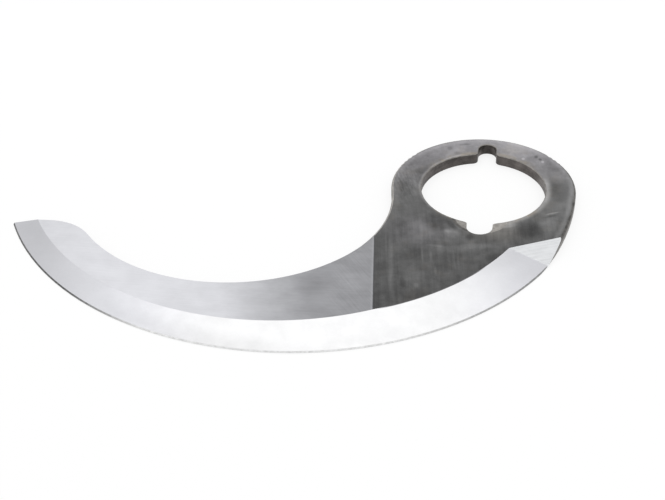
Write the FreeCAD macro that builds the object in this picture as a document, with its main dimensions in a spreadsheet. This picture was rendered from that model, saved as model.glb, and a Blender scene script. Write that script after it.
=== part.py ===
import FreeCAD, Part
import Sketcher
import math
import os

# Cutter mixer blade: one piece of steel, a keyed eye that drops over the shaft and a sickle-shaped
# arm that sweeps round the bowl. The frame's origin is on the bore axis at the flat underside, +Z is
# up along the bore, the arm points to -X and the cutting edge faces -Y.

doc = FreeCAD.newDocument("CutterMixerBlade")

# Driving dimensions, in millimetres and degrees.
SIZES = {
    # Blank: the plate's thickness, the eye and the rounding of its rim.
    "thickness": 4.5,
    "ring_radius": 37.0,
    "rim_rounding": 0.8,
    # Cutting edge: one arc that clears the eye by a margin. The line from its centre to the bore
    # axis is turned from X, and the sweeps to the heel and the tip are counted from that line.
    "edge_radius": 116.3,
    "edge_margin": 2.5,
    "edge_turn": 10.8,
    "heel_sweep": 22.3,
    "tip_sweep": 153.0,
    "edge_stock": 3.0,
    # Where the short arc from the heel meets the rim of the eye, below X.
    "heel_blend": 8.8,
    # Back of the arm: a neck arc that leaves the eye and a wider arc that runs out to the tip,
    # with a radius that is smaller than the edge's by a fixed amount.
    "neck_radius": 57.7,
    "neck_turn": 2.2,
    "neck_sweep": 50.6,
    "back_inset": 51.1,
    # Tip: a straight cut, slanted from the edge's radius, and a round corner at the back.
    "end_slant": 22.7,
    "end_radius": 19.1,
    # Keyed bore: two round-bottomed key slots on one line, turned from Y, with rounded mouths.
    "bore_radius": 25.0,
    "slot_reach": 32.6,
    "slot_turn": 6.6,
    "wide_slot": 10.2,
    "narrow_slot": 7.4,
    "wide_mouth": 1.2,
    "narrow_mouth": 2.4,
    "bore_chamfer": 0.3,
    # Relief in the top face round the wide slot's mouth: a shallow cone, whose circle on the face
    # stays inside the slot's bottom by a gap.
    "relief_radius": 11.2,
    "relief_gap": 0.3,
    "relief_tilt": 5.0,
    # Taper-ground face: it falls away towards the tip from a line across the arm.
    "grind_reach": 43.2,
    "grind_turn": 1.7,
    "grind_taper": 0.74,
    # Bevel: a conical grind along the edge, and the narrow steeper one that hones it sharp.
    "bevel_width": 16.0,
    "bevel_land": 0.4,
    "hone_land": 0.05,
    "hone_angle": 45.0,
    # Run-out of the bevel at the heel: a flat facet that rises beside the eye.
    "facet_sweep": 23.4,
    "facet_heading": 19.3,
    "facet_tilt": 20.4,
    # How far a grinding tool reaches past the steel, and how far the bevel sweeps past the tip.
    "overcut": 12.0,
    "sweep_past": 12.0,
}

sheet = doc.addObject("Spreadsheet::Sheet", "sizes")
for row, (alias, value) in enumerate(SIZES.items(), start=1):
    sheet.set(f"A{row}", alias)
    sheet.set(f"B{row}", str(value))
    sheet.setAlias(f"B{row}", alias)
doc.recompute()

# The distance from the edge arc's centre to the bore axis, as an expression.
CENTRE_LINE = "(sizes.edge_radius - sizes.ring_radius - sizes.edge_margin)"
# Names of a curve's points in a sketch constraint, and the sketch's own origin and upright axis.
START, END, CENTRE = 1, 2, 3
ORIGIN = (-1, 1)
UPRIGHT = -2


def size(alias):
    """The value that the sheet holds for a size."""
    return float(sheet.get(alias))


def vector(x, y, z=0.0):
    return FreeCAD.Vector(x, y, z)


def polar(centre, radius, angle):
    """The point on a circle at an angle in degrees."""
    turned = math.radians(angle)
    return centre + vector(radius * math.cos(turned), radius * math.sin(turned))


def angle_of(centre, point):
    """The angle in degrees at which a point is seen from a centre."""
    return math.degrees(math.atan2(point.y - centre.y, point.x - centre.x))


def arc(centre, start, end):
    """A counter-clockwise arc between two points at the same distance from a centre."""
    first = math.radians(angle_of(centre, start))
    last = math.radians(angle_of(centre, end))
    circle = Part.Circle(centre, vector(0, 0, 1), (start - centre).Length)
    return Part.ArcOfCircle(circle, first, last)


def step(x="0", y="0", z="0", yaw="0", pitch="0", roll="0"):
    """One step of a placement expression: a move, then a turn."""
    return f"placement(vector({x}; {y}; {z}); rotation({yaw}; {pitch}; {roll}))"


def new_sketch(body, role, name, *steps):
    """A sketch on one of a body's own origin planes, shifted along it by steps."""
    sketch = body.newObject("Sketcher::SketchObject", name)
    plane = next(item for item in body.Origin.OriginFeatures if item.Role == role)
    sketch.AttachmentSupport = [(plane, "")]
    sketch.MapMode = "FlatFace"
    if steps:
        sketch.setExpression("AttachmentOffset", " * ".join(steps))
    return sketch


def constrain(sketch, kind, *arguments, to=None):
    """Adds a constraint and, where a size drives it, binds it to the sheet."""
    index = sketch.addConstraint(Sketcher.Constraint(kind, *arguments))
    if to is not None:
        sketch.setExpression(f"Constraints[{index}]", to)


def named_edges(shape, wanted):
    """The names of a shape's edges that pass a test."""
    return [f"Edge{number}" for number, edge in enumerate(shape.Edges, start=1) if wanted(edge)]


def draw_outline(body):
    """The blank's outline, with straight sides of stock outside the cutting edge.

    The points are worked out from the sizes first, so the sketch starts where its constraints hold it.
    """
    bore_axis = vector(0, 0)
    rim_radius = size("ring_radius")
    edge_radius = size("edge_radius")
    heel_angle = -size("edge_turn") - size("heel_sweep")
    tip_angle = -size("edge_turn") - size("tip_sweep")
    back_radius = edge_radius - size("back_inset")
    centre_line = edge_radius - rim_radius - size("edge_margin")
    stock_reach = edge_radius + size("edge_stock")
    edge_centre = polar(bore_axis, centre_line, 180 - size("edge_turn"))
    heel = polar(edge_centre, edge_radius, heel_angle)
    tip = polar(edge_centre, edge_radius, tip_angle)
    stock_corner = edge_centre - vector(stock_reach, stock_reach)

    # The heel arc is tangent to the rim and passes through the heel; a tangent line runs on from it.
    rim_join = polar(bore_axis, rim_radius, -size("heel_blend"))
    outward = rim_join / rim_radius
    rise = rim_join - heel
    heel_centre = rim_join - outward * (rise.Length ** 2 / (2 * rise.dot(outward)))
    heel_reach = heel - heel_centre
    fall = (heel.y - stock_corner.y) / heel_reach.x
    heel_foot = heel - vector(-heel_reach.y, heel_reach.x) * fall

    # The neck and the back arc share a tangent where they join.
    neck_centre = polar(bore_axis, size("neck_radius") + rim_radius, 180 + size("neck_turn"))
    neck_join = polar(bore_axis, rim_radius, 180 + size("neck_turn"))
    back_angle = size("neck_turn") - size("neck_sweep")
    back_join = polar(neck_centre, size("neck_radius"), back_angle)
    back_centre = polar(back_join, back_radius, 180 + back_angle)

    # The cut passes through the tip; the corner touches both the cut and the back arc.
    cut_heading = tip_angle + 180 - size("end_slant")
    along = polar(bore_axis, 1, cut_heading)
    inward = polar(bore_axis, 1, cut_heading - 90)
    offset = tip + inward * size("end_radius") - back_centre
    run = offset.dot(along)
    gap = back_radius + size("end_radius")
    cut_end = tip - along * (run + math.sqrt(run ** 2 - offset.Length ** 2 + gap ** 2))
    end_centre = cut_end + inward * size("end_radius")
    end_join = polar(back_centre, back_radius, angle_of(back_centre, end_centre))
    tip_foot = tip - along * ((tip.x - stock_corner.x) / along.x)

    sketch = new_sketch(body, "XY_Plane", "outline")
    left_side = sketch.addGeometry(Part.LineSegment(tip_foot, stock_corner))
    lower_side = sketch.addGeometry(Part.LineSegment(stock_corner, heel_foot))
    heel_run = sketch.addGeometry(Part.LineSegment(heel_foot, heel))
    heel_arc = sketch.addGeometry(arc(heel_centre, heel, rim_join))
    rim = sketch.addGeometry(arc(bore_axis, rim_join, neck_join))
    neck = sketch.addGeometry(arc(neck_centre, back_join, neck_join))
    back = sketch.addGeometry(arc(back_centre, end_join, back_join))
    corner = sketch.addGeometry(arc(end_centre, end_join, cut_end))
    end_cut = sketch.addGeometry(Part.LineSegment(cut_end, tip_foot))

    # Construction lines carry the angles.
    to_edge_centre = sketch.addGeometry(Part.LineSegment(bore_axis, edge_centre), True)
    to_heel = sketch.addGeometry(Part.LineSegment(edge_centre, heel), True)
    to_tip = sketch.addGeometry(Part.LineSegment(edge_centre, tip), True)
    to_rim_join = sketch.addGeometry(Part.LineSegment(bore_axis, rim_join), True)
    to_neck_centre = sketch.addGeometry(Part.LineSegment(bore_axis, neck_centre), True)
    to_back_join = sketch.addGeometry(Part.LineSegment(neck_centre, back_join), True)

    for spoke in (to_edge_centre, to_rim_join, to_neck_centre):
        constrain(sketch, "Coincident", spoke, START, *ORIGIN)
    for first, first_point, second, second_point in (
            (rim, CENTRE, *ORIGIN),
            (to_heel, START, to_edge_centre, END),
            (to_tip, START, to_edge_centre, END),
            (to_heel, END, heel_arc, START),
            (to_rim_join, END, rim, START),
            (to_neck_centre, END, neck, CENTRE),
            (to_back_join, START, neck, CENTRE),
            (to_back_join, END, neck, START),
            (end_cut, END, left_side, START),
            (left_side, END, lower_side, START),
            (lower_side, END, heel_run, START)):
        constrain(sketch, "Coincident", first, first_point, second, second_point)
    for first, first_point, second, second_point in (
            (heel_run, END, heel_arc, START),
            (heel_arc, END, rim, START),
            (rim, END, neck, END),
            (neck, START, back, END),
            (back, START, corner, START),
            (corner, END, end_cut, START)):
        constrain(sketch, "Tangent", first, first_point, second, second_point)
    constrain(sketch, "PointOnObject", to_tip, END, end_cut)
    constrain(sketch, "Vertical", left_side)
    constrain(sketch, "Horizontal", lower_side)

    for kind in ("DistanceX", "DistanceY"):
        constrain(sketch, kind, lower_side, START, to_edge_centre, END, stock_reach,
                  to="sizes.edge_radius + sizes.edge_stock")
    constrain(sketch, "Radius", back, back_radius, to="sizes.edge_radius - sizes.back_inset")
    for curve, alias in ((rim, "ring_radius"), (neck, "neck_radius"), (corner, "end_radius")):
        constrain(sketch, "Radius", curve, size(alias), to=f"sizes.{alias}")
    constrain(sketch, "Distance", to_edge_centre, centre_line, to=CENTRE_LINE)
    for spoke in (to_heel, to_tip):
        constrain(sketch, "Distance", spoke, edge_radius, to="sizes.edge_radius")
    for line, angle, expression in (
            (to_edge_centre, 180 - size("edge_turn"), "180 - sizes.edge_turn"),
            (to_heel, heel_angle, "-sizes.edge_turn - sizes.heel_sweep"),
            (to_tip, tip_angle, "-sizes.edge_turn - sizes.tip_sweep"),
            (to_rim_join, -size("heel_blend"), "-sizes.heel_blend"),
            (to_neck_centre, 180 + size("neck_turn"), "180 + sizes.neck_turn"),
            (to_back_join, back_angle, "sizes.neck_turn - sizes.neck_sweep"),
            (end_cut, cut_heading - 180, "-sizes.edge_turn - sizes.tip_sweep - sizes.end_slant")):
        constrain(sketch, "Angle", line, math.radians(angle), to=expression)
    return sketch


def draw_slot(sketch, side, width):
    """A round-bottomed key slot that opens into the bore, on the side given by 1 or -1."""
    half = size(width) / 2
    mouth = side * size("bore_radius") / 2
    bottom = side * (size("slot_reach") - half)
    left = sketch.addGeometry(Part.LineSegment(vector(-half, mouth), vector(-half, bottom)))
    right = sketch.addGeometry(Part.LineSegment(vector(half, bottom), vector(half, mouth)))
    inner = sketch.addGeometry(Part.LineSegment(vector(half, mouth), vector(-half, mouth)))
    ends = (right, START), (left, END)
    if side < 0:
        ends = ends[1], ends[0]
    points = [vector(half, bottom), vector(-half, bottom)][::side]
    round_end = sketch.addGeometry(arc(vector(0, bottom), *points))
    for (line, point), arc_point in zip(ends, (START, END)):
        constrain(sketch, "Tangent", line, point, round_end, arc_point)
    constrain(sketch, "Coincident", right, END, inner, START)
    constrain(sketch, "Coincident", inner, END, left, START)
    constrain(sketch, "Horizontal", inner)
    constrain(sketch, "Vertical", left)
    constrain(sketch, "Vertical", right)
    constrain(sketch, "PointOnObject", round_end, CENTRE, UPRIGHT)
    constrain(sketch, "Radius", round_end, half, to=f"sizes.{width} / 2")
    sign = "" if side > 0 else "-"
    constrain(sketch, "DistanceY", *ORIGIN, inner, START, mouth, to=f"{sign}sizes.bore_radius / 2")
    constrain(sketch, "DistanceY", *ORIGIN, round_end, CENTRE, bottom,
              to=f"{sign}(sizes.slot_reach - sizes.{width} / 2)")


def cut_through(body, sketch, name):
    """A pocket from the underside up through the whole plate."""
    pocket = body.newObject("PartDesign::Pocket", name)
    pocket.Profile = sketch
    pocket.Type = "ThroughAll"
    pocket.Reversed = True
    doc.recompute()
    return pocket


def make_blank():
    """The flat blank: rounded rim, edge trimmed to its arc, keyed bore."""
    body = doc.addObject("PartDesign::Body", "blank")
    plate = body.newObject("PartDesign::Pad", "plate")
    plate.Profile = draw_outline(body)
    plate.setExpression("Length", "sizes.thickness")
    doc.recompute()

    def is_rim(edge):
        return isinstance(edge.Curve, Part.Circle) and math.isclose(edge.Curve.Radius, size("ring_radius"))

    rim = body.newObject("PartDesign::Fillet", "rim")
    rim.Base = (plate, named_edges(plate.Shape, is_rim))
    rim.setExpression("Radius", "sizes.rim_rounding")
    doc.recompute()

    trim = new_sketch(body, "XY_Plane", "trim",
                      step(yaw="-sizes.edge_turn"), step(x=f"-{CENTRE_LINE}"))
    inner = trim.addGeometry(Part.Circle(vector(0, 0), vector(0, 0, 1), size("edge_radius")))
    outer = trim.addGeometry(Part.Circle(vector(0, 0), vector(0, 0, 1), 2 * size("edge_radius")))
    for circle in (inner, outer):
        constrain(trim, "Coincident", circle, CENTRE, *ORIGIN)
    constrain(trim, "Radius", inner, size("edge_radius"), to="sizes.edge_radius")
    constrain(trim, "Radius", outer, 2 * size("edge_radius"), to="2 * sizes.edge_radius")
    cut_through(body, trim, "edge_trim")

    circle = new_sketch(body, "XY_Plane", "bore_circle")
    wall = circle.addGeometry(Part.Circle(vector(0, 0), vector(0, 0, 1), size("bore_radius")))
    constrain(circle, "Coincident", wall, CENTRE, *ORIGIN)
    constrain(circle, "Radius", wall, size("bore_radius"), to="sizes.bore_radius")
    cut_through(body, circle, "bore")

    slots = new_sketch(body, "XY_Plane", "slots", step(yaw="-sizes.slot_turn"))
    draw_slot(slots, 1, "narrow_slot")
    draw_slot(slots, -1, "wide_slot")
    key_slots = cut_through(body, slots, "key_slots")

    def is_mouth(edge, side):
        ends = [vertex.Point for vertex in edge.Vertexes]
        upright = abs(ends[0].z - ends[-1].z) > size("thickness") / 2
        on_bore = all(math.isclose(math.hypot(end.x, end.y), size("bore_radius"), abs_tol=0.001)
                      for end in ends)
        return upright and on_bore and ends[0].y * side > 0

    mouths = key_slots
    for side, alias in ((1, "narrow_mouth"), (-1, "wide_mouth")):
        sharp = named_edges(mouths.Shape, lambda edge: is_mouth(edge, side))
        base, mouths = mouths, body.newObject("PartDesign::Fillet", f"{alias}_corners")
        mouths.Base = (base, sharp)
        mouths.setExpression("Radius", f"sizes.{alias}")
        doc.recompute()

    def is_bore_corner(edge):
        reach = max(math.hypot(vertex.X, vertex.Y) for vertex in edge.Vertexes)
        return edge.BoundBox.ZMin > size("thickness") - 0.001 and reach < size("slot_reach") + 0.001

    corners = body.newObject("PartDesign::Chamfer", "bore_corners")
    corners.Base = (mouths, named_edges(mouths.Shape, is_bore_corner))
    corners.setExpression("Size", "sizes.bore_chamfer")
    doc.recompute()
    return body


def block(name, length, width, height, *steps):
    """A grinding tool with one flat face: a box placed by steps."""
    box = doc.addObject("Part::Box", name)
    box.setExpression("Length", length)
    box.setExpression("Width", width)
    box.setExpression("Height", height)
    box.setExpression("Placement", " * ".join(steps))
    return box


def cut(name, base, tool):
    """What a tool leaves of a base."""
    result = doc.addObject("Part::Cut", name)
    result.Base = base
    result.Tool = tool
    result.Refine = True
    return result


def make_taper_tool():
    """Everything above the taper-ground face."""
    return block("taper_tool", "2 * sizes.edge_radius", "2 * sizes.edge_radius", "sizes.overcut",
                 step(x="-sizes.grind_reach", z="sizes.thickness", yaw="-sizes.grind_turn"),
                 step(pitch="-sizes.grind_taper"),
                 step(x="-2 * sizes.edge_radius", y="-sizes.edge_radius"))


def make_relief_tool():
    """The shallow cone that relieves the top face round the wide slot's mouth."""
    cone = doc.addObject("Part::Cone", "relief_tool")
    cone.setExpression("Radius1", "0")
    cone.setExpression("Radius2", "sizes.relief_radius + sizes.overcut / tan(sizes.relief_tilt)")
    cone.setExpression("Height", "sizes.relief_radius * tan(sizes.relief_tilt) + sizes.overcut")
    cone.setExpression("Placement", " * ".join([
        step(yaw="-sizes.slot_turn"),
        step(y="sizes.relief_radius + sizes.relief_gap - sizes.slot_reach",
             z="sizes.thickness - sizes.relief_radius * tan(sizes.relief_tilt)")]))
    return cone


def make_bevel_tool():
    """The conical grind along the edge, which lifts out over a flat facet at the heel."""
    cone = doc.addObject("PartDesign::Body", "bevel_cone")
    cone.setExpression("Placement", " * ".join([step(yaw="-sizes.edge_turn"),
                                                step(x=f"-{CENTRE_LINE}")]))
    profile = new_sketch(cone, "XZ_Plane", "bevel_profile")
    fall = (size("thickness") - size("bevel_land")) / size("bevel_width")
    steep = math.tan(math.radians(size("hone_angle")))
    edge_x = size("edge_radius")
    shoulder_x = edge_x - size("bevel_width")
    hone_width = (size("bevel_land") - size("hone_land")) / (steep - fall)
    crease = vector(edge_x - hone_width, size("hone_land") + steep * hone_width)
    outer_x = edge_x + size("overcut")
    outer_z = size("hone_land") - steep * size("overcut")
    top_z = size("thickness") + size("overcut")
    inner_x = edge_x - (top_z - size("bevel_land")) / fall
    corners = [vector(inner_x, top_z), crease, vector(outer_x, outer_z), vector(outer_x, top_z)]
    face, hone, wall, lid = [profile.addGeometry(Part.LineSegment(first, second))
                             for first, second in zip(corners, corners[1:] + corners[:1])]
    shoulder = profile.addGeometry(Part.Point(vector(shoulder_x, size("thickness"))), True)
    bevel_end = profile.addGeometry(Part.Point(vector(edge_x, size("bevel_land"))), True)
    hone_end = profile.addGeometry(Part.Point(vector(edge_x, size("hone_land"))), True)
    for first, second in ((face, hone), (hone, wall), (wall, lid), (lid, face)):
        constrain(profile, "Coincident", first, END, second, START)
    for point, line in ((shoulder, face), (bevel_end, face), (hone_end, hone)):
        constrain(profile, "PointOnObject", point, START, line)
    constrain(profile, "Vertical", wall)
    constrain(profile, "Horizontal", lid)
    constrain(profile, "Angle", hone, -math.radians(size("hone_angle")), to="-sizes.hone_angle")
    for kind, item, value, expression in (
            ("DistanceX", shoulder, shoulder_x, "sizes.edge_radius - sizes.bevel_width"),
            ("DistanceY", shoulder, size("thickness"), "sizes.thickness"),
            ("DistanceX", bevel_end, edge_x, "sizes.edge_radius"),
            ("DistanceY", bevel_end, size("bevel_land"), "sizes.bevel_land"),
            ("DistanceX", hone_end, edge_x, "sizes.edge_radius"),
            ("DistanceY", hone_end, size("hone_land"), "sizes.hone_land"),
            ("DistanceX", wall, outer_x, "sizes.edge_radius + sizes.overcut"),
            ("DistanceY", lid, top_z, "sizes.thickness + sizes.overcut")):
        constrain(profile, kind, *ORIGIN, item, START, value, to=expression)
    grind = cone.newObject("PartDesign::Revolution", "grind")
    grind.Profile = profile
    grind.ReferenceAxis = (profile, ["V_Axis"])
    grind.Reversed = True
    grind.setExpression("Angle", "sizes.tip_sweep + sizes.sweep_past")

    run_out = block("run_out", "2 * sizes.ring_radius", "4 * sizes.ring_radius", "2 * sizes.ring_radius",
                    step(yaw="-sizes.edge_turn"),
                    step(x=f"-{CENTRE_LINE}", z="sizes.thickness", yaw="-sizes.facet_sweep"),
                    step(x="sizes.edge_radius - sizes.bevel_width",
                         yaw="sizes.facet_heading + sizes.edge_turn + sizes.facet_sweep"),
                    step(roll="sizes.facet_tilt"),
                    step(y="-2 * sizes.ring_radius", z="-2 * sizes.ring_radius"))
    return cut("bevel_tool", cone, run_out)


blade = make_blank()
blade = cut("taper_ground", blade, make_taper_tool())
blade = cut("mouth_relieved", blade, make_relief_tool())
blade = cut("beveled", blade, make_bevel_tool())
blade.Label = "cutter_blade"
doc.recompute()

failed = [item.Label for item in doc.Objects if {"Invalid", "Error"} & set(item.State)]
if failed:
    raise RuntimeError(f"features that failed: {failed}")
if blade.Shape.isNull() or not blade.Shape.isValid() or len(blade.Shape.Solids) != 1:
    raise RuntimeError("the blade is not one valid solid")

os.makedirs("parts", exist_ok=True)
blade.Shape.exportStep(f"parts/{blade.Label}.step")
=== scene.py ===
import math

import bmesh
import bpy
from mathutils import Matrix, Vector

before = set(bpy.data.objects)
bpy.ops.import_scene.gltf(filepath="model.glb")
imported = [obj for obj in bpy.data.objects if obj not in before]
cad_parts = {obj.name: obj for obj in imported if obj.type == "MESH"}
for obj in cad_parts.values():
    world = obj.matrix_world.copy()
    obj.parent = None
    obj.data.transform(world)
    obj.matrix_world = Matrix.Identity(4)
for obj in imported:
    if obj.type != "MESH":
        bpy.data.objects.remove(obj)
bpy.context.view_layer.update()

# Cutter blade: one plate of hardened stainless steel, cut to a sickle outline, bored and slotted for
# its shaft, then ground and honed. It stays the CAD solid, and the sections below give each of its
# surfaces the finish that its own working left.
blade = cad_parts["cutter_blade"]

# Rolled skin on the eye and on the root of the arm: stainless steel as the rolls and the heat
# treatment left it, dark, streaked along the rolling direction and cloudy from the quench. It was
# never ground, so it keeps the stains, rubs and scratches of handling and use.
MILLIMETRE = 0.001


def steel_finish(name, metallic):
    """A steel material with its node tree, and a point's place on the blade in mm, whole and in parts:
    X from the tip towards the eye, Y from the cutting edge towards the back, Z up from the underside."""
    material = bpy.data.materials.new(name)
    material.use_nodes = True
    tree = material.node_tree
    tree.nodes["Principled BSDF"].inputs["Metallic"].default_value = metallic
    coordinates = tree.nodes.new("ShaderNodeTexCoord")
    place = tree.nodes.new("ShaderNodeVectorMath")
    place.operation = "SCALE"
    place.inputs["Scale"].default_value = 1 / MILLIMETRE
    tree.links.new(coordinates.outputs["Object"], place.inputs[0])
    parts = tree.nodes.new("ShaderNodeSeparateXYZ")
    tree.links.new(place.outputs[0], parts.inputs[0])
    return material, tree, place.outputs[0], parts.outputs


def feed(tree, socket, value):
    """Links a value to a socket, or sets it there when it is a plain number or colour."""
    if isinstance(value, bpy.types.NodeSocket):
        tree.links.new(value, socket)
    else:
        socket.default_value = value


def reckon(tree, operation, *values):
    """Takes one kind of arithmetic through several values, from the first to the last."""
    result = values[0]
    for value in values[1:]:
        node = tree.nodes.new("ShaderNodeMath")
        node.operation = operation
        feed(tree, node.inputs[0], result)
        feed(tree, node.inputs[1], value)
        result = node.outputs[0]
    return result


def total(tree, *values):
    """The sum of several values."""
    return reckon(tree, "ADD", *values)


def product(tree, *values):
    """Several values times each other, where one that is 0 in a place keeps the others off it."""
    return reckon(tree, "MULTIPLY", *values)


def largest(tree, *values):
    """The largest of several values."""
    return reckon(tree, "MAXIMUM", *values)


def away_from(tree, value, middle):
    """How far a value is from a middle one, to either side."""
    return reckon(tree, "ABSOLUTE", reckon(tree, "SUBTRACT", value, middle), 0.0)


def fade(tree, value, low, high, start, end):
    """Runs smoothly from start to end while a value runs from low to high."""
    node = tree.nodes.new("ShaderNodeMapRange")
    node.interpolation_type = "SMOOTHSTEP"
    feed(tree, node.inputs["Value"], value)
    node.inputs["From Min"].default_value = low
    node.inputs["From Max"].default_value = high
    node.inputs["To Min"].default_value = start
    node.inputs["To Max"].default_value = end
    return node.outputs["Result"]


def past(tree, value, low, high):
    """0 until a value reaches low, and 1 once it is past high."""
    return fade(tree, value, low, high, 0.0, 1.0)


def mottle(tree, place, size, amount, stretch=(1.0, 1.0, 1.0), turn=0.0, detail=3.0):
    """Uneven shading of plus or minus an amount, with a grain of a size in mm, stretched, then turned."""
    laid = tree.nodes.new("ShaderNodeMapping")
    laid.vector_type = "TEXTURE"
    laid.inputs["Rotation"].default_value = (0.0, 0.0, math.radians(turn))
    laid.inputs["Scale"].default_value = [size * part for part in stretch]
    tree.links.new(place, laid.inputs["Vector"])
    noise = tree.nodes.new("ShaderNodeTexNoise")
    noise.inputs["Scale"].default_value = 1.0
    noise.inputs["Detail"].default_value = detail
    noise.inputs["Roughness"].default_value = 0.6
    tree.links.new(laid.outputs[0], noise.inputs["Vector"])
    darkest, lightest = 0.25, 0.75
    return fade(tree, noise.outputs["Fac"], darkest, lightest, -amount, amount)


def distance_from(tree, place, centre, radii=(1.0, 1.0), turn=0.0):
    """How far a point is from an upright axis, in mm, or in the radii of an oval drawn round it.
    Heights are pressed flat, so that they hardly count."""
    flattened = 1000.0
    laid = tree.nodes.new("ShaderNodeMapping")
    laid.vector_type = "TEXTURE"
    laid.inputs["Location"].default_value = (*centre, 0.0)
    laid.inputs["Rotation"].default_value = (0.0, 0.0, math.radians(turn))
    laid.inputs["Scale"].default_value = (*radii, flattened)
    tree.links.new(place, laid.inputs["Vector"])
    reach = tree.nodes.new("ShaderNodeVectorMath")
    reach.operation = "LENGTH"
    tree.links.new(laid.outputs[0], reach.inputs[0])
    return reach.outputs["Value"]


def mark(tree, place, centre, radii, turn, amount):
    """A soft oval stain or rub, which has its full amount in the middle and is gone at its rim."""
    rim, middle = 1.0, 0.25
    return fade(tree, distance_from(tree, place, centre, radii, turn), rim, middle, 0.0, amount)


def tinge(tree, share, tint, other):
    """A tint that a share of another one turns."""
    change = tree.nodes.new("ShaderNodeVectorMath")
    change.operation = "SUBTRACT"
    feed(tree, change.inputs[0], other)
    feed(tree, change.inputs[1], tint)
    mixed = tree.nodes.new("ShaderNodeVectorMath")
    mixed.operation = "MULTIPLY_ADD"
    tree.links.new(change.outputs[0], mixed.inputs[0])
    feed(tree, mixed.inputs[1], share)
    feed(tree, mixed.inputs[2], tint)
    return mixed.outputs[0]


def colour_steel(tree, tone, tint):
    """Gives the steel its colour: how light it looks to the eye, from 0 to 1, times a tint."""
    darkest, eye_response = 0.05, 2.2
    light = reckon(tree, "POWER", largest(tree, tone, darkest), eye_response)
    tinted = tree.nodes.new("ShaderNodeVectorMath")
    tinted.operation = "SCALE"
    feed(tree, tinted.inputs[0], tint)
    feed(tree, tinted.inputs["Scale"], light)
    tree.links.new(tinted.outputs[0], tree.nodes["Principled BSDF"].inputs["Base Color"])


def roughen(tree, shading, amount, dull, bright, relief, depth):
    """Makes the steel dull where a shading of plus or minus an amount is dark and bright where it is
    light, and gives it the fine relief of another shading, with a depth in mm."""
    shader = tree.nodes["Principled BSDF"]
    feed(tree, shader.inputs["Roughness"], fade(tree, shading, -amount, amount, dull, bright))
    bump = tree.nodes.new("ShaderNodeBump")
    bump.inputs["Strength"].default_value = 0.5
    bump.inputs["Distance"].default_value = depth * MILLIMETRE
    tree.links.new(relief, bump.inputs["Height"])
    tree.links.new(bump.outputs[0], shader.inputs["Normal"])


rolled_skin, tree, place, parts = steel_finish("rolled_skin", 0.9)
x, y = parts["X"], parts["Y"]
SKIN_TONE = 0.38
BORE_RADIUS = 25.0
RING_RADIUS = 37.0
HEEL_CENTRE = (-97.29, 15.06)
HEEL_RADIUS = 135.4
EDGE_CENTRE = (-75.44, 14.39)
BEVEL_START = 100.3
from_bore = distance_from(tree, place, (0.0, 0.0))
from_heel_centre = distance_from(tree, place, HEEL_CENTRE)
from_edge_centre = distance_from(tree, place, EDGE_CENTRE)
# The plate's own unevenness: fine grain, streaks and bands along the rolls' direction, clouds.
grain = mottle(tree, place, 0.9, 0.008, detail=4.0)
streaks = product(tree, mottle(tree, place, 1.3, 0.02, (1.0, 20.0, 1.0)),
                  fade(tree, y, 0.0, -30.0, 0.25, 1.0))
bands = mottle(tree, place, 5.0, 0.02, (1.0, 6.0, 1.0))
clouds = mottle(tree, place, 10.0, 0.04, detail=5.0)
# Wear: scuffs on the eye's back and on its neck, and lighter corners at the bore, the ring and the
# heel, which are edge wear with a painted highlight along the broken corners.
back_scuffs = product(tree, mottle(tree, place, 3.0, 0.028, detail=4.0),
                      fade(tree, y, -5.0, 15.0, 0.2, 1.0))
neck_scuffs = product(tree, mottle(tree, place, 1.1, 0.05, (1.0, 5.0, 1.0), 12.0),
                      mark(tree, place, (-31.0, 4.0), (9.0, 20.0), 0, 1.0))
# Lighter bands along the edges of the bore, the ring and the heel: edge wear and a painted highlight.
heel_side_bore_wear_and_highlight = product(tree, past(tree, x, 3.0, 9.0), past(tree, y, 12.0, 2.0),
                            fade(tree, from_bore, BORE_RADIUS + 3.2, BORE_RADIUS + 0.7, 0.0, 0.15))
tip_side_bore_wear_and_highlight = product(tree, past(tree, x, -4.0, -10.0),
                           fade(tree, from_bore, BORE_RADIUS + 1.5, BORE_RADIUS + 0.4, 0.0, 0.1))
ring_corner_wear_and_highlight = product(tree, past(tree, y, -14.0, 0.0),
                      fade(tree, from_bore, RING_RADIUS - 3.5, RING_RADIUS - 1.6, 0.0, 0.05))
heel_corner_wear_and_highlight = fade(tree, from_heel_centre, HEEL_RADIUS - 3.6, HEEL_RADIUS - 1.8, 0.0, 0.08)
# Broad painted light and shade: lighter towards the back, darker beside the bevel, the heel and the ground
# face.
root_to_eye = fade(tree, y, -50.0, -24.0, SKIN_TONE - 0.065, SKIN_TONE)
eye_to_back = fade(tree, y, -2.0, 34.0, 0.0, 0.15)
neck_to_heel = product(tree, past(tree, y, -30.0, -5.0), fade(tree, x, -25.0, 30.0, -0.02, 0.045))
beside_bevel = fade(tree, from_edge_centre, BEVEL_START - 7.0, BEVEL_START, 0.0, -0.025)
beside_heel = product(tree, past(tree, y, 2.0, -10.0),
                      fade(tree, from_heel_centre, HEEL_RADIUS - 1.6, HEEL_RADIUS - 0.7, 0.0, -0.06))
beside_ground_face = fade(tree, x, -38.0, -43.5, 0.0, -0.035)
tone = total(tree, grain, streaks, bands, clouds, back_scuffs, neck_scuffs, heel_side_bore_wear_and_highlight,
             tip_side_bore_wear_and_highlight, largest(tree, ring_corner_wear_and_highlight, heel_corner_wear_and_highlight), root_to_eye, eye_to_back,
             neck_to_heel, beside_bevel, beside_heel, beside_ground_face)
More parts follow.
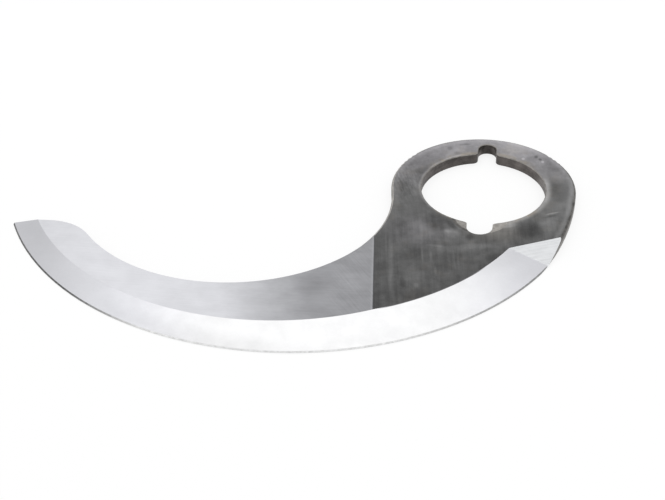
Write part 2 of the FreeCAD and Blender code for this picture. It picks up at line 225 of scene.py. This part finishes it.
# Marks, each with its middle and its two radii in mm, its turn in degrees, and how much it lightens.
dark_stains = (
    ((-30.0, -0.1), (3.5, 7.0), 0, -0.02), ((-24.5, 12.7), (6.0, 3.5), 20, -0.05),
    ((30.3, -2.5), (5.2, 11.0), 0, -0.085), ((16.8, -29.6), (8.0, 8.5), -20, -0.105),
    ((-7.2, -34.2), (2.6, 3.4), 0, -0.08), ((-19.0, -23.0), (8.5, 7.5), 0, -0.08),
    ((-24.1, 20.2), (9.0, 5.0), 50, -0.035), ((-13.6, -26.8), (1.7, 6.5), 28, -0.055),
    ((-34.6, -25.0), (4.0, 5.0), 0, -0.055), ((-24.0, -10.0), (5.0, 3.0), 20, -0.02),
    ((-12.1, 29.7), (1.6, 2.0), 0, -0.1), ((-9.1, 25.8), (2.2, 2.0), 0, -0.07),
    ((-5.7, 32.5), (3.4, 1.1), 5, -0.09), ((-30.7, -72.2), (9.0, 5.0), -8, -0.03),
    ((-31.3, -46.2), (7.0, 9.0), 0, -0.01), ((-20.6, -28.3), (6.0, 3.6), 0, -0.035),
    ((21.8, -22.6), (3.0, 3.0), 0, -0.04), ((-22.7, -64.8), (5.0, 5.0), 0, -0.02),
    ((2.2, -38.6), (4.5, 3.2), 0, -0.03), ((1.8, -48.0), (5.0, 4.0), 20, -0.04),
    ((-34.2, -64.2), (2.0, 4.0), 0, -0.05), ((-1.0, -35.5), (10.0, 4.5), 0, -0.05),
    ((-27.0, -59.5), (10.0, 10.0), 0, -0.018))
rubbed_spots = (
    ((26.8, 9.7), (5.0, 10.0), 20, 0.03), ((-30.9, 8.3), (6.0, 9.0), 10, 0.035),
    ((-30.5, -14.5), (3.5, 6.0), 0, 0.02), ((-18.5, -49.5), (5.0, 6.0), 0, 0.03),
    ((-14.5, -43.0), (8.0, 4.0), 0, 0.035), ((-14.3, -36.8), (5.0, 3.6), 0, 0.04),
    ((-43.0, -78.5), (5.0, 6.0), 0, 0.025), ((-14.1, -31.8), (4.2, 4.6), 10, 0.08),
    ((-15.6, -30.4), (2.6, 1.6), -35, 0.05), ((-26.8, -29.0), (7.0, 12.0), 0, 0.03),
    ((23.5, -26.5), (6.0, 8.0), -20, 0.055), ((8.0, -26.8), (5.0, 2.2), 15, 0.1),
    ((-40.5, -66.0), (5.0, 10.0), 0, 0.026))
dried_drop = (
    ((-29.3, -62.0), (5.6, 10.5), 0, 0.065), ((-29.3, -62.0), (4.4, 8.6), 0, -0.03),
    ((-29.2, -66.1), (1.3, 2.4), 0, 0.06))
rolling_lines = (
    ((-38.4, -51.0), (1.5, 30.0), -1, 0.042), ((-40.0, -36.0), (0.7, 12.0), 0, 0.03),
    ((-26.2, -46.0), (0.7, 6.5), 0, 0.06), ((-22.9, -47.0), (0.7, 4.0), 0, 0.05),
    ((-21.5, -57.0), (0.7, 4.5), 0, 0.05), ((-14.2, -49.0), (0.8, 7.0), 0, 0.02),
    ((-12.6, -50.5), (0.8, 7.0), 0, 0.02))
# The last pair is one scratch: a light line with a darker line beside it, its painted shadow.
scratches = (
    ((-20.5, -40.4), (5.0, 1.2), -12, 0.05), ((-6.0, -40.8), (11.0, 2.6), 2, 0.04),
    ((26.2, -18.3), (4.2, 0.8), 19, 0.12), ((25.4, -20.4), (4.2, 1.0), 19, -0.06))
# Dents drawn only as painted highlights and painted shade: two light dots and two dark dots.
dents_painted_light_and_shade = (
    ((17.5, 21.4), (1.0, 1.3), 0, 0.13), ((25.3, 19.1), (0.9, 1.4), 0, 0.13),
    ((22.9, 22.9), (1.1, 1.5), 0, -0.14), ((24.4, 20.9), (1.0, 1.3), 0, -0.13))
for marks in (dark_stains, rubbed_spots, dried_drop, rolling_lines, scratches, dents_painted_light_and_shade):
    for centre, radii, turn, amount in marks:
        tone = total(tree, tone, mark(tree, place, centre, radii, turn, amount))
# Colour: brown from oil and heat round the bore and below the wide slot, and faintly lilac at the
# back and on the root.
NEUTRAL = (1.0, 1.0, 1.0)
LILAC = (1.01, 0.985, 1.03)
BROWN = (1.12, 1.0, 0.84)
lilac_haze = largest(tree, past(tree, y, -10.0, 25.0),
                     mark(tree, place, (-27.0, -30.0), (18.0, 16.0), 0, 0.6))
brown_corner = product(tree, fade(tree, from_bore, BORE_RADIUS + 3.5, BORE_RADIUS, 0.0, 0.9),
                       fade(tree, mottle(tree, place, 4.0, 1.0), -0.6, 0.4, 0.2, 1.0),
                       fade(tree, away_from(tree, y, 0.0), 12.0, 20.0, 0.1, 1.0))
brown_clouds = fade(tree, mottle(tree, place, 9.0, 1.0, detail=4.0), 0.1, 0.9, 0.0, 0.2)
brown_below_slot = mark(tree, place, (2.0, -31.0), (17.0, 10.0), -10, 0.3)
tint = tinge(tree, lilac_haze, NEUTRAL, LILAC)
tint = tinge(tree, largest(tree, brown_corner, brown_clouds, brown_below_slot), tint, BROWN)
colour_steel(tree, tone, tint)
roughen(tree, clouds, amount=0.04, dull=0.46, bright=0.34, relief=total(tree, grain, streaks), depth=0.6)

# Taper-ground face of the arm: bare steel, ground thinner towards the tip and left satin. The
# wheel's marks run along the arm, and cross it where the wheel came in beside the skin. The face is
# darker at that duller root and painted lighter towards the tip, with painted shade at the point:
# the duller finish and a painted reflection together. A thread of the dark skin stays along the
# line where the grinding starts.
taper_ground, tree, place, parts = steel_finish("taper_ground", 1.0)
x, y = parts["X"], parts["Y"]
COOL = (0.985, 0.99, 1.035)
START_LINE_REACH = 43.2
START_LINE_SLOPE = 0.0297
past_start_line = total(tree, x, START_LINE_REACH, product(tree, y, -START_LINE_SLOPE))
wheel_marks = mottle(tree, place, 0.5, 0.008, (24.0, 1.0, 1.0), -8.0)
cross_marks = product(tree, mottle(tree, place, 0.5, 0.018, (24.0, 1.0, 1.0), -62.0),
                      past(tree, x, -66.0, -54.0))
sweeps = product(tree, mottle(tree, place, 5.0, 0.015, (2.0, 1.0, 1.0), -5.0),
                 fade(tree, x, -125.0, -95.0, 0.3, 1.0))
clouds = mottle(tree, place, 9.0, 0.014)
# Painted light along the arm, also the duller root: darker at the root, lighter towards the tip, with
# painted shade at the point.
dull_root_and_painted_light = fade(tree, x, -59.0, -113.0, 0.55, 0.798)
painted_light_towards_tip = fade(tree, x, -118.0, -140.0, 0.0, 0.015)
painted_shade_at_tip = fade(tree, x, -145.0, -172.0, 0.0, -0.016)
first_touch = fade(tree, past_start_line, -1.4, -0.6, 0.0, 0.03)
skin_left = fade(tree, past_start_line, -0.4, -0.26, 0.0, -0.26)
tone = total(tree, wheel_marks, cross_marks, sweeps, clouds, dull_root_and_painted_light, painted_light_towards_tip, painted_shade_at_tip,
             first_touch, skin_left,
             mark(tree, place, (-69.5, -66.0), (8.0, 11.0), 10, -0.04),
             mark(tree, place, (-56.0, -62.0), (6.0, 18.0), 20, 0.02))
colour_steel(tree, tone, COOL)
roughen(tree, wheel_marks, amount=0.008, dull=0.36, bright=0.28,
        relief=total(tree, wheel_marks, cross_marks), depth=0.15)

# Bevel along the curved edge: bare steel, ground on a fine wheel and polished by it, so it is the
# brightest surface of the blade. It has painted shade at both ends, where its reflection dims, it is
# a little duller in one band near the edge, and a thread of the dark skin stays at its shoulder.
fine_bevel, tree, place, parts = steel_finish("fine_bevel", 1.0)
x = parts["X"]
BEVEL_TONE = 0.792
BEVEL_MIDDLE = -63.0
DULL_BAND_MIDDLE = -115.0
from_edge_centre = distance_from(tree, place, EDGE_CENTRE)
smears = mottle(tree, place, 7.0, 0.008)
haze = mottle(tree, place, 0.8, 0.005, detail=4.0)
skin_left = product(tree, past(tree, x, -45.5, -38.0), past(tree, x, -1.0, -8.0),
                    fade(tree, from_edge_centre, BEVEL_START + 0.22, BEVEL_START + 0.38, -0.44, 0.0))
dull_band = product(tree, fade(tree, from_edge_centre, BEVEL_START + 6.7, BEVEL_START + 14.2, 0.0, -0.036),
                    fade(tree, away_from(tree, x, DULL_BAND_MIDDLE), 38.0, 20.0, 0.2, 1.0))
# Painted shade at the tip and at the heel, where the bevel's reflection dims.
painted_shade_at_tip = fade(tree, x, -155.0, -182.0, 0.0, -0.035)
painted_shade_at_heel = fade(tree, x, -3.0, 14.0, 0.0, -0.028)
tone = total(tree, smears, haze, BEVEL_TONE, skin_left, dull_band, painted_shade_at_tip, painted_shade_at_heel,
             mark(tree, place, (3.0, -50.0), (16.0, 7.0), 38, -0.02),
             mark(tree, place, (-173.0, -28.0), (9.0, 26.0), 22, -0.02))
whiter_middle = fade(tree, away_from(tree, x, BEVEL_MIDDLE), 80.0, 35.0, 0.0, 0.85)
colour_steel(tree, tone, tinge(tree, whiter_middle, COOL, NEUTRAL))
roughen(tree, smears, amount=0.008, dull=0.34, bright=0.3, relief=haze, depth=0.05)

# Run-out facet at the heel: bare steel where the bevel ends, cut by one pass of a flat wheel. The
# wheel was coarser than the bevel's and left straight scratches from side to side.
heel_facet, tree, place, parts = steel_finish("heel_facet", 1.0)
FACET_TONE = 0.71
scratches = mottle(tree, place, 0.4, 0.018, (26.0, 1.0, 1.0), 17.0)
clouds = mottle(tree, place, 3.0, 0.012)
colour_steel(tree, total(tree, scratches, clouds, FACET_TONE), (0.985, 1.0, 1.02))
roughen(tree, scratches, amount=0.018, dull=0.4, bright=0.32, relief=scratches, depth=0.2)

# Honed edge: the narrow steep bevel that a stone leaves on the bare steel of the cutting edge. It is
# bright along the middle of the edge, and darker at the tip and at the heel.
honed_edge, tree, place, parts = steel_finish("honed_edge", 1.0)
x = parts["X"]
nicks = mottle(tree, place, 1.6, 0.06, detail=4.0)
tip_to_middle = fade(tree, x, -165.0, -128.0, 0.4, 0.87)
middle_to_heel = fade(tree, x, -45.0, 30.0, 0.0, -0.34)
colour_steel(tree, total(tree, nicks, tip_to_middle, middle_to_heel), NEUTRAL)
roughen(tree, nicks, amount=0.06, dull=0.4, bright=0.3, relief=nicks, depth=0.3)

# Bore and key slots: cut before the heat treatment, so their steel walls are brown-gray. They are
# darkest in the middle of each slot, which is painted shade, with fine turning marks round the bore.
bore_wall, tree, place, parts = steel_finish("bore_wall", 0.85)
x = parts["X"]
SLOT_OFFSET = 3.3
from_bore = distance_from(tree, place, (0.0, 0.0))
from_middle = away_from(tree, x, 0.0)
turning = mottle(tree, place, 0.35, 0.02, (30.0, 30.0, 1.0))
dirt = mottle(tree, place, 4.0, 0.05, detail=4.0)
tip_to_heel_side = fade(tree, x, -18.0, 18.0, 0.32, 0.385)
# Painted shade in and beside the slots: the bore wall darker beside them, and their walls darker or
# lighter by how far they lie from the slot line.
painted_shade_beside_slots = fade(tree, from_middle, 14.0, 5.0, 0.0, -0.04)
painted_shade_and_light_in_slots = product(tree, past(tree, from_bore, BORE_RADIUS + 0.2, BORE_RADIUS + 1.5),
                   fade(tree, away_from(tree, from_middle, SLOT_OFFSET), 1.4, 3.0, -0.07, 0.06))
colour_steel(tree, total(tree, turning, dirt, tip_to_heel_side, painted_shade_beside_slots, painted_shade_and_light_in_slots), (1.1, 0.99, 0.94))
roughen(tree, dirt, amount=0.05, dull=0.5, bright=0.4, relief=turning, depth=0.3)

# Reliefs beside the wide slot's mouth, and the broken corner of the bore: steel that was cut back
# after the heat treatment and rubbed bright by the shaft. A painted shadow darkens the far corner of
# the relief on the tip's side of the slot, along the relief's step.
worn_relief, tree, place, parts = steel_finish("worn_relief", 0.95)
x, y = parts["X"], parts["Y"]
RELIEF_CENTRE = (-2.43, -20.96)
RELIEF_RADIUS = 10.0
from_relief_centre = distance_from(tree, place, RELIEF_CENTRE)
rub = mottle(tree, place, 1.8, 0.05, detail=4.0)
# Painted shadow along the relief's step, in its far corner on the tip's side of the slot.
dirt = product(tree, past(tree, from_relief_centre, RELIEF_RADIUS - 0.4, RELIEF_RADIUS + 0.4),
               past(tree, y, -17.0, -20.0), fade(tree, x, -3.0, -7.0, 0.0, -0.2))
tip_to_heel_side = fade(tree, x, -6.0, 3.0, 0.515, 0.545)
colour_steel(tree, total(tree, rub, dirt, tip_to_heel_side), (1.05, 1.0, 0.94))
roughen(tree, rub, amount=0.05, dull=0.5, bright=0.36, relief=rub, depth=0.3)

# Rounded upper corner of the outline: steel, smoothed by a belt so that it doesn't catch. The dark
# skin is left on it along the heel, and it is lighter at the neck, worn by hands and with a painted
# highlight along the rounded corner.
rounded_rim, tree, place, parts = steel_finish("rounded_rim", 0.8)
x, y, z = parts["X"], parts["Y"], parts["Z"]
RIM_TONE = 0.51
tree.nodes["Principled BSDF"].inputs["Specular Tint"].default_value = (0.3, 0.3, 0.3, 1.0)
wear = mottle(tree, place, 3.0, 0.06, detail=4.0)
heel_skin = product(tree, fade(tree, z, 4.1, 4.45, -0.07, -0.14), past(tree, x, 10.0, 26.0),
                    fade(tree, y, 4.0, -22.0, 0.15, 1.0))
# Lighter at the neck: wear and a painted highlight on the rounded corner.
neck_wear_and_highlight = product(tree, fade(tree, x, -22.0, -32.0, 0.0, 0.14), past(tree, x, -56.0, -46.0))
colour_steel(tree, total(tree, wear, heel_skin, neck_wear_and_highlight, RIM_TONE), (1.03, 1.0, 0.96))
roughen(tree, wear, amount=0.06, dull=0.5, bright=0.4, relief=wear, depth=0.4)

# Side of the plate: the cut steel outline below that corner, brushed along its length. It is painted
# brighter near the underside, as a painted reflection of the pale table.
brushed_side, tree, place, parts = steel_finish("brushed_side", 0.9)
tree.nodes["Principled BSDF"].inputs["Specular Tint"].default_value = (0.45, 0.44, 0.43, 1.0)
lines = mottle(tree, place, 0.4, 0.05, (14.0, 14.0, 1.0))
dirt = mottle(tree, place, 6.0, 0.05)
# Brighter towards the underside: a painted reflection of the table in the lower side.
tone_with_painted_reflection_below = fade(tree, parts["Z"], 4.0, 2.0, 0.5, 0.66)
colour_steel(tree, total(tree, lines, dirt, tone_with_painted_reflection_below), (1.02, 1.0, 0.97))
roughen(tree, dirt, amount=0.05, dull=0.46, bright=0.34, relief=lines, depth=0.3)

# The blade's faces: each takes its finish from where it lies and how it leans, because every cut
# was made at its own angle. The flat faces point straight up or down, the bevel, the facet and the
# honed edge lean more and more, and the walls and the sides stand upright.
FLAT = 0.998
TAPER_LEAN = -0.005
BEVEL_LEAN = (0.96, 0.98)
FACET_LEAN = (0.93, 0.945)
FACET_FACING = -0.3
UPRIGHT = 0.1
HONED_LEAN = (UPRIGHT, 0.75)
EYE_REACH = 34 * MILLIMETRE
RIM_BOTTOM = 4.2 * MILLIMETRE
finishes = (rolled_skin, taper_ground, fine_bevel, heel_facet, honed_edge,
            bore_wall, worn_relief, rounded_rim, brushed_side)
blade.data.materials.clear()
for finish in finishes:
    blade.data.materials.append(finish)


def leans(face, lean):
    """Whether a face leans as a cut does, by how much of its normal points up."""
    return lean[0] < face.normal.z < lean[1]


for face in blade.data.polygons:
    centre, normal = face.center, face.normal
    if normal.z > FLAT:
        finish = taper_ground if normal.x < TAPER_LEAN else rolled_skin
    elif normal.z < -FLAT:
        finish = rolled_skin
    elif math.hypot(centre.x, centre.y) < EYE_REACH:
        finish = worn_relief if normal.z > UPRIGHT else bore_wall
    elif leans(face, BEVEL_LEAN) and centre.z < RIM_BOTTOM:
        finish = fine_bevel
    elif leans(face, FACET_LEAN) and normal.y < FACET_FACING:
        finish = heel_facet
    elif leans(face, HONED_LEAN) and centre.z < MILLIMETRE:
        finish = honed_edge
    elif normal.z > UPRIGHT:
        finish = rounded_rim
    else:
        finish = brushed_side
    face.material_index = finishes.index(finish)

# Table: a wide matt sheet that the blade lies on, a hair below its underside. It takes the blade's
# soft shadow. A glow that shows only to the eye and in the steel's reflections makes it pale.
TABLE_SPREAD = 6.0
TABLE_DROP = 0.0002
TABLE_GLOW = 0.79
TABLE_GRAY = (0.2, 0.2, 0.2, 1.0)
table_shape = bmesh.new()
bmesh.ops.create_grid(table_shape, x_segments=1, y_segments=1, size=TABLE_SPREAD)
bmesh.ops.translate(table_shape, verts=table_shape.verts, vec=(0.0, 0.0, -TABLE_DROP))
sheet = bpy.data.meshes.new("table")
table_shape.to_mesh(sheet)
table_shape.free()
table = bpy.data.objects.new("table", sheet)
bpy.context.scene.collection.objects.link(table)


def seen_directly(tree):
    """1 where a surface is looked at, straight or in the steel, and 0 where it only gives light."""
    path = tree.nodes.new("ShaderNodeLightPath")
    return largest(tree, path.outputs["Is Camera Ray"], path.outputs["Is Glossy Ray"],
                   path.outputs["Is Transmission Ray"])


pale_sheet = bpy.data.materials.new("pale_sheet")
pale_sheet.use_nodes = True
tree = pale_sheet.node_tree
tree.nodes.clear()
matte = tree.nodes.new("ShaderNodeBsdfDiffuse")
matte.inputs["Color"].default_value = TABLE_GRAY
glow = tree.nodes.new("ShaderNodeEmission")
feed(tree, glow.inputs["Strength"], product(tree, seen_directly(tree), TABLE_GLOW))
matte_and_glow = tree.nodes.new("ShaderNodeAddShader")
tree.links.new(matte.outputs[0], matte_and_glow.inputs[0])
tree.links.new(glow.outputs[0], matte_and_glow.inputs[1])
output = tree.nodes.new("ShaderNodeOutputMaterial")
tree.links.new(matte_and_glow.outputs[0], output.inputs["Surface"])
sheet.materials.append(pale_sheet)

# Light: an even white room that lights everything softly, with one wide soft box overhead and a
# small one low at the back, which brightens the bevel. The room is plain white where it is seen.
ROOM_LIGHT = 0.9
ROOM_WHITE = 1.0
room = bpy.data.worlds.new("white_room")
bpy.context.scene.world = room
room.use_nodes = True
tree = room.node_tree
walls = tree.nodes["Background"]
walls.inputs["Color"].default_value = (1.0, 1.0, 1.0, 1.0)
feed(tree, walls.inputs["Strength"], fade(tree, seen_directly(tree), 0.0, 1.0, ROOM_LIGHT, ROOM_WHITE))


def soft_box(name, position, target, width, height, brightness):
    """A rectangular lamp that faces a target, with the brightness of its front."""
    lamp = bpy.data.lights.new(name, "AREA")
    lamp.shape = "RECTANGLE"
    lamp.size, lamp.size_y = width, height
    lamp.energy = brightness * math.pi * width * height
    box = bpy.data.objects.new(name, lamp)
    box.location = position
    box.rotation_euler = (Vector(target) - Vector(position)).to_track_quat("-Z", "Y").to_euler()
    bpy.context.scene.collection.objects.link(box)


soft_box("overhead_box", position=(0.1, 0.33, 1.13), target=(-0.08, -0.06, 0.0),
         width=1.5, height=0.9, brightness=0.78)
soft_box("back_box", position=(0.0, 2.0, 0.85), target=(0.0, 0.0, 0.0),
         width=1.0, height=0.35, brightness=0.5)

# Camera: about 0.9 m away with a long lens, looking 35 degrees down at the blade over its cutting
# edge. Its place, its turns and its lens were worked out from the photograph's perspective.
IMAGE_WIDTH = 665
FOCAL_LENGTH_IN_PIXELS = 2203
FILM_WIDTH = 36.0
EYE_POINT = (-0.060704, -0.737652, 0.493947)
TILT = math.radians(54.829)
ROLL = math.radians(-0.13)
lens = bpy.data.cameras.new("camera")
lens.sensor_width = FILM_WIDTH
lens.lens = FILM_WIDTH * FOCAL_LENGTH_IN_PIXELS / IMAGE_WIDTH
camera = bpy.data.objects.new("camera", lens)
camera.matrix_world = (Matrix.Translation(EYE_POINT) @ Matrix.Rotation(TILT, 4, "X")
                       @ Matrix.Rotation(ROLL, 4, "Z"))
bpy.context.scene.collection.objects.link(camera)
bpy.context.scene.camera = camera
bpy.context.scene.view_settings.view_transform = "Standard"
